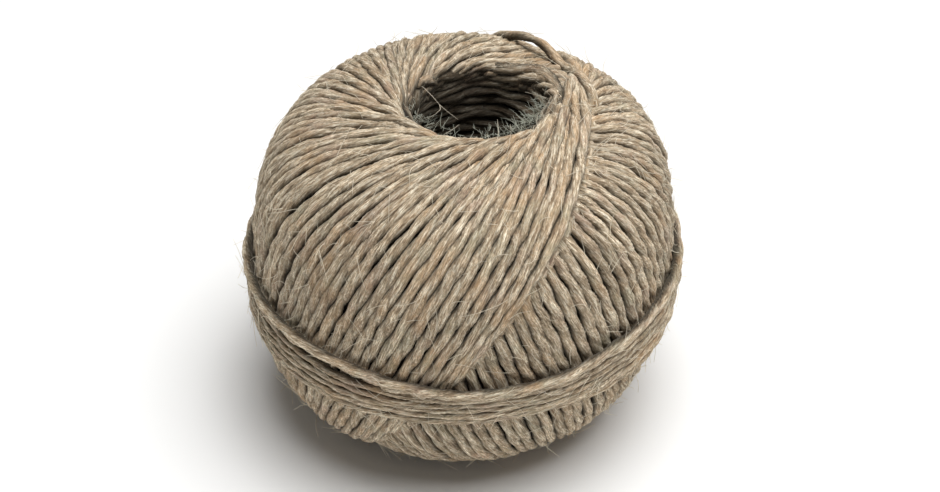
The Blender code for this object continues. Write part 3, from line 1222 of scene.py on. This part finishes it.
FIBRE_STEPS = 7  # pieces of a fibre's path
FIBRE_DIP = 0.2 * MM  # how far a fibre may dip under the place that it starts from
FIBRE_FLOOR = 0.3 * MM  # height over the floor that it keeps


def fibre_path(rng, start, along, out, length):
    """A stray fibre: it leaves the twine nearly along it and curls away."""
    side = along.cross(out).normalized()
    heading = along * rng.choice((-1, 1)) + side * rng.gauss(0, 0.8) + out * rng.uniform(0, 0.45)
    heading.normalize()
    curl = (side * rng.gauss(0, 1.4) + out * rng.gauss(0.05, 0.5)) * 0.6
    points = []
    place = start.copy()
    for _ in range(FIBRE_STEPS):
        points.append(place.copy())
        turn = curl * (1 / FIBRE_STEPS) + side * rng.gauss(0, 0.12)
        heading = (heading + turn).normalized()
        place += heading * (length / FIBRE_STEPS)
        over = (place - start).dot(out)
        if over < -FIBRE_DIP:
            place -= out * (over + FIBRE_DIP)
        place.z = max(place.z, FIBRE_FLOOR)
    return points


# A long fibre that hangs in the core's mouth, and its branch, in mm from the ball's middle
FORKED_FIBRE = (
    ((-12.2, 10.9, 41.5), (-9.5, 8.6, 41.2), (-7.2, 5.4, 40.6), (-5.6, 2.9, 40.0),
     (-3.6, 0.8, 39.4), (-1.2, -1.2, 38.6)),
    ((-5.6, 2.9, 40.0), (-5.4, 1.6, 39.6), (-6.6, 0.2, 39.2), (-8.6, -1.3, 38.8)),
)


def thin_curves(name, paths, thickness):
    """Turn paths into thin tapering fibres, as one mesh."""
    curve = bpy.data.curves.new(name, "CURVE")
    curve.dimensions = "3D"
    curve.bevel_depth = thickness / 2
    curve.bevel_resolution = 0
    for path in paths:
        spline = curve.splines.new("POLY")
        spline.points.add(len(path) - 1)
        for index, place in enumerate(path):
            spline.points[index].co = (*place, 1)
            spline.points[index].radius = 1.0 - 0.6 * index / len(path)
    piece = as_mesh(name, curve)
    close_ends(piece, 4)
    bpy.ops.object.shade_smooth()
    return piece


LONGEST_FIBRE = 10 * MM  # longer ones are cut to this
FIBRE_ROOT = 0.9  # distance of its start from the strand's middle, in the strand's radii


def ball_fibres(scene, rng):
    """Paths of the fibres all over the ball, and of the forked one in the core's mouth."""
    fibres, middle = scene.stray_fibres, ball_middle(scene.ball_shape)
    clockwise, other = old_turns(scene)
    strands = clockwise + other + last_turns(scene) + band_turns(scene)
    weights = [len(strand["points"]) for strand in strands]
    paths = []
    for _ in range(fibres.count):
        strand = rng.choices(strands, weights)[0]
        at = rng.randrange(2, len(strand["points"]) - 3)
        start = Vector(strand["points"][at])
        along = (Vector(strand["points"][at + 1]) - start).normalized()
        out = (start - middle).normalized()
        out = (out - along * out.dot(along)).normalized()
        start += out * strand["radius"][at] * FIBRE_ROOT
        length = min(fibres.length * math.exp(rng.gauss(0, 0.5)), LONGEST_FIBRE)
        paths.append(fibre_path(rng, start, along, out, length))
    for path in FORKED_FIBRE:
        paths.append([Vector(place) * MM + middle for place in path])
    return paths


def mouth_fibres(scene, rng):
    """Paths of the fibres round the core's mouth, most of them at its front and right."""
    ball, middle = scene.ball_shape, ball_middle(scene.ball_shape)
    paths = []
    for _ in range(scene.stray_fibres.lip_count):
        azimuth = math.radians(rng.choice((rng.uniform(-175, 0), rng.uniform(-175, 0),
                                          rng.gauss(-38, 20))))
        lip = rim_radius(ball, azimuth) - ball.lip_rounding + rng.uniform(-0.5, 2.5) * MM
        height = body_height(ball, lip) - rng.uniform(0.8, 5.0) * MM
        lean = (ball.winding_lean + ball.body_lean) * height
        start = Vector((lip * math.cos(azimuth) + lean, lip * math.sin(azimuth),
                        height + middle.z))
        inward = Vector((-math.cos(azimuth), -math.sin(azimuth), 0))
        along = Vector((-math.sin(azimuth), math.cos(azimuth), 0))
        up = (inward * rng.uniform(0.3, 1.2) + Vector((0, 0, 1))).normalized()
        tilted = (up + along * rng.gauss(0, 0.6)).normalized()
        length = rng.uniform(1.5, 5.0) * MM
        paths.append(fibre_path(rng, start, tilted, up, length))
    return paths


class TWINE_OT_stray_fibres(bpy.types.Operator):
    """Scatter the loose fibre ends that stand off the twine"""

    bl_idname = "twine.stray_fibres"
    bl_label = "Stray fibres"

    def execute(self, context):
        scene = context.scene
        thickness, colours = scene.stray_fibres.thickness, scene.jute_colours
        rng = random.Random(scene.stray_fibres.seed)
        finish_piece(thin_curves("stray_fibres", ball_fibres(scene, rng), thickness),
                     plain_fibre("loose jute fibre", colours.stray, 0.7))
        # The fibres at the mouth get their pale grey-green, lightened as painted light where they
        # lie in shade
        finish_piece(thin_curves("core_fibres", mouth_fibres(scene, rng), 0.7 * thickness),
                     plain_fibre("pale jute fibre with painted light", colours.lip_fibre_and_painted_light, 0.8))
        return {"FINISHED"}


class TWINE_OT_stage(bpy.types.Operator):
    """Set the floor, the light and the camera"""

    bl_idname = "twine.stage"
    bl_label = "Stage"

    def execute(self, context):
        scene = context.scene
        studio, middle = scene.studio_stage, ball_middle(scene.ball_shape)
        deselect_all()
        bpy.ops.mesh.primitive_plane_add(size=2 * studio.floor_size, location=(0, 0, 0))
        floor = context.object
        floor.name = "floor"
        material = bpy.data.materials.new("matt paper sweep")
        material.use_nodes = True
        shader = material.node_tree.nodes["Principled BSDF"]
        shader.inputs["Base Color"].default_value = linear(studio.floor)
        shader.inputs["Roughness"].default_value = 0.9
        floor.data.materials.append(material)

        world = scene.world or bpy.data.worlds.new("studio")
        scene.world = world
        world.use_nodes = True
        background = world.node_tree.nodes["Background"]
        background.inputs["Color"].default_value = (1, 1, 1, 1)
        background.inputs["Strength"].default_value = studio.sky

        for name, place, strength in (("key_light", Vector(studio.key_from), studio.key),
                                      ("fill_light", Vector(studio.fill_from), studio.fill)):
            lamp = bpy.data.lights.new(name, "SUN")
            lamp.angle = studio.softness
            lamp.energy = strength
            light = bpy.data.objects.new(name, lamp)
            light.location = middle + place
            light.rotation_euler = (-place).to_track_quat("-Z", "Y").to_euler()
            context.collection.objects.link(light)

        elevation = studio.elevation
        forward = Vector((0, math.cos(elevation), -math.sin(elevation)))
        upward = Vector((0, math.sin(elevation), math.cos(elevation)))
        target = middle + Vector((studio.aim[0], 0, 0)) + upward * studio.aim[1]
        camera_data = bpy.data.cameras.new("camera")
        camera_data.sensor_width = 36
        camera_data.lens = studio.lens
        camera = bpy.data.objects.new("camera", camera_data)
        camera.location = target - forward * studio.distance
        camera.rotation_euler = forward.to_track_quat("-Z", "Y").to_euler()
        context.collection.objects.link(camera)
        scene.camera = camera
        scene.view_settings.view_transform = "Standard"
        return {"FINISHED"}


class TWINE_PT_panel(bpy.types.Panel):
    """Sizes, colours and steps of the ball of twine"""

    bl_label = "Ball of twine"
    bl_idname = "TWINE_PT_panel"
    bl_space_type = "VIEW_3D"
    bl_region_type = "UI"
    bl_category = "Twine"

    def draw(self, context):
        layout = self.layout
        for name, group in SETTINGS.items():
            box = layout.box()
            settings = getattr(context.scene, name)
            for key in group.__annotations__:
                box.prop(settings, key)
        for operator in OPERATORS:
            layout.operator(operator.bl_idname)


SETTINGS = {
    "ball_shape": BallShape,
    "twine_make": TwineMake,
    "winding_plan": WindingPlan,
    "core_wall": CoreWall,
    "waist_band": WaistBand,
    "stray_fibres": StrayFibres,
    "jute_colours": JuteColours,
    "studio_stage": StudioStage,
}

OPERATORS = (
    TWINE_OT_stage,
    TWINE_OT_inner_winding,
    TWINE_OT_outer_turns,
    TWINE_OT_last_turns,
    TWINE_OT_waist_band,
    TWINE_OT_core_wall,
    TWINE_OT_stray_fibres,
)


def register():
    for cls in (*SETTINGS.values(), *OPERATORS, TWINE_PT_panel):
        bpy.utils.register_class(cls)
    for name, group in SETTINGS.items():
        setattr(bpy.types.Scene, name, PointerProperty(type=group))


def unregister():
    for name in SETTINGS:
        delattr(bpy.types.Scene, name)
    for cls in (TWINE_PT_panel, *reversed(OPERATORS), *reversed(tuple(SETTINGS.values()))):
        bpy.utils.unregister_class(cls)


def main():
    register()
    bpy.ops.twine.stage()
    bpy.ops.twine.inner_winding()
    bpy.ops.twine.outer_turns()
    bpy.ops.twine.last_turns()
    bpy.ops.twine.waist_band()
    bpy.ops.twine.core_wall()
    bpy.ops.twine.stray_fibres()


if __name__ == "__main__":
    main()
